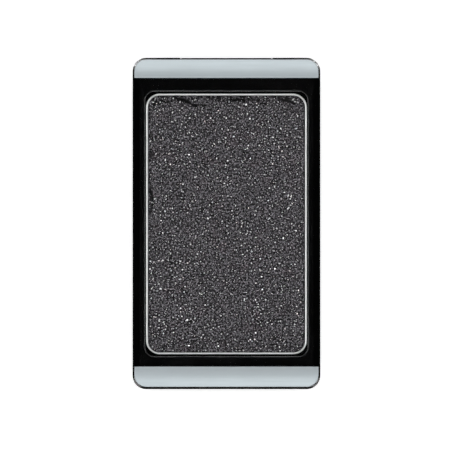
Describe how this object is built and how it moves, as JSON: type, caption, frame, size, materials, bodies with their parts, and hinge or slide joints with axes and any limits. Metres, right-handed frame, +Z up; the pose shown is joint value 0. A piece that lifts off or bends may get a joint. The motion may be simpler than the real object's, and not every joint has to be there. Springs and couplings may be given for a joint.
{
  "type": "eyeshadow palette",
  "caption": "Slim rectangular makeup compact with a clear hinged lid, silver end plates and one removable pan of sparkling charcoal powder.",
  "frame": {"origin": "middle of the footprint, on the surface the palette rests on", "axes": "+Z up, +X along the width, +Y along the length towards the hinge"},
  "size_m": [0.025, 0.044, 0.008],
  "materials": {
    "base_plastic": "gloss",
    "tray_plastic": "gloss",
    "clear_plastic": "gloss",
    "silver_trim": "satin",
    "pan_steel": "satin",
    "pin_steel": "satin",
    "powder": "matte",
    "magnet": "matte",
    "tape": "matte",
    "label_paper": "satin"
  },
  "bodies": {
    "base": {"base_shell": "base_plastic", "pan_tray": "tray_plastic", "pan": "pan_steel", "powder_cake": "powder", "pan_magnet": "magnet", "magnet_tape": "tape", "hinge_pin_left": "pin_steel", "hinge_pin_right": "pin_steel", "underside_label": "label_paper"},
    "lid": {"lid_shell": "clear_plastic", "front_trim_plate": "silver_trim", "rear_trim_plate": "silver_trim", "front_trim_tape": "tape", "rear_trim_tape": "tape"}
  },
  "joints": [
    {"name": "lid_hinge", "type": "hinge", "parent": "base", "child": "lid", "pos_m": [0, 0.02075, 0.0046], "axis": [-1, 0, 0], "range_deg": [0, 120]}
  ]
}
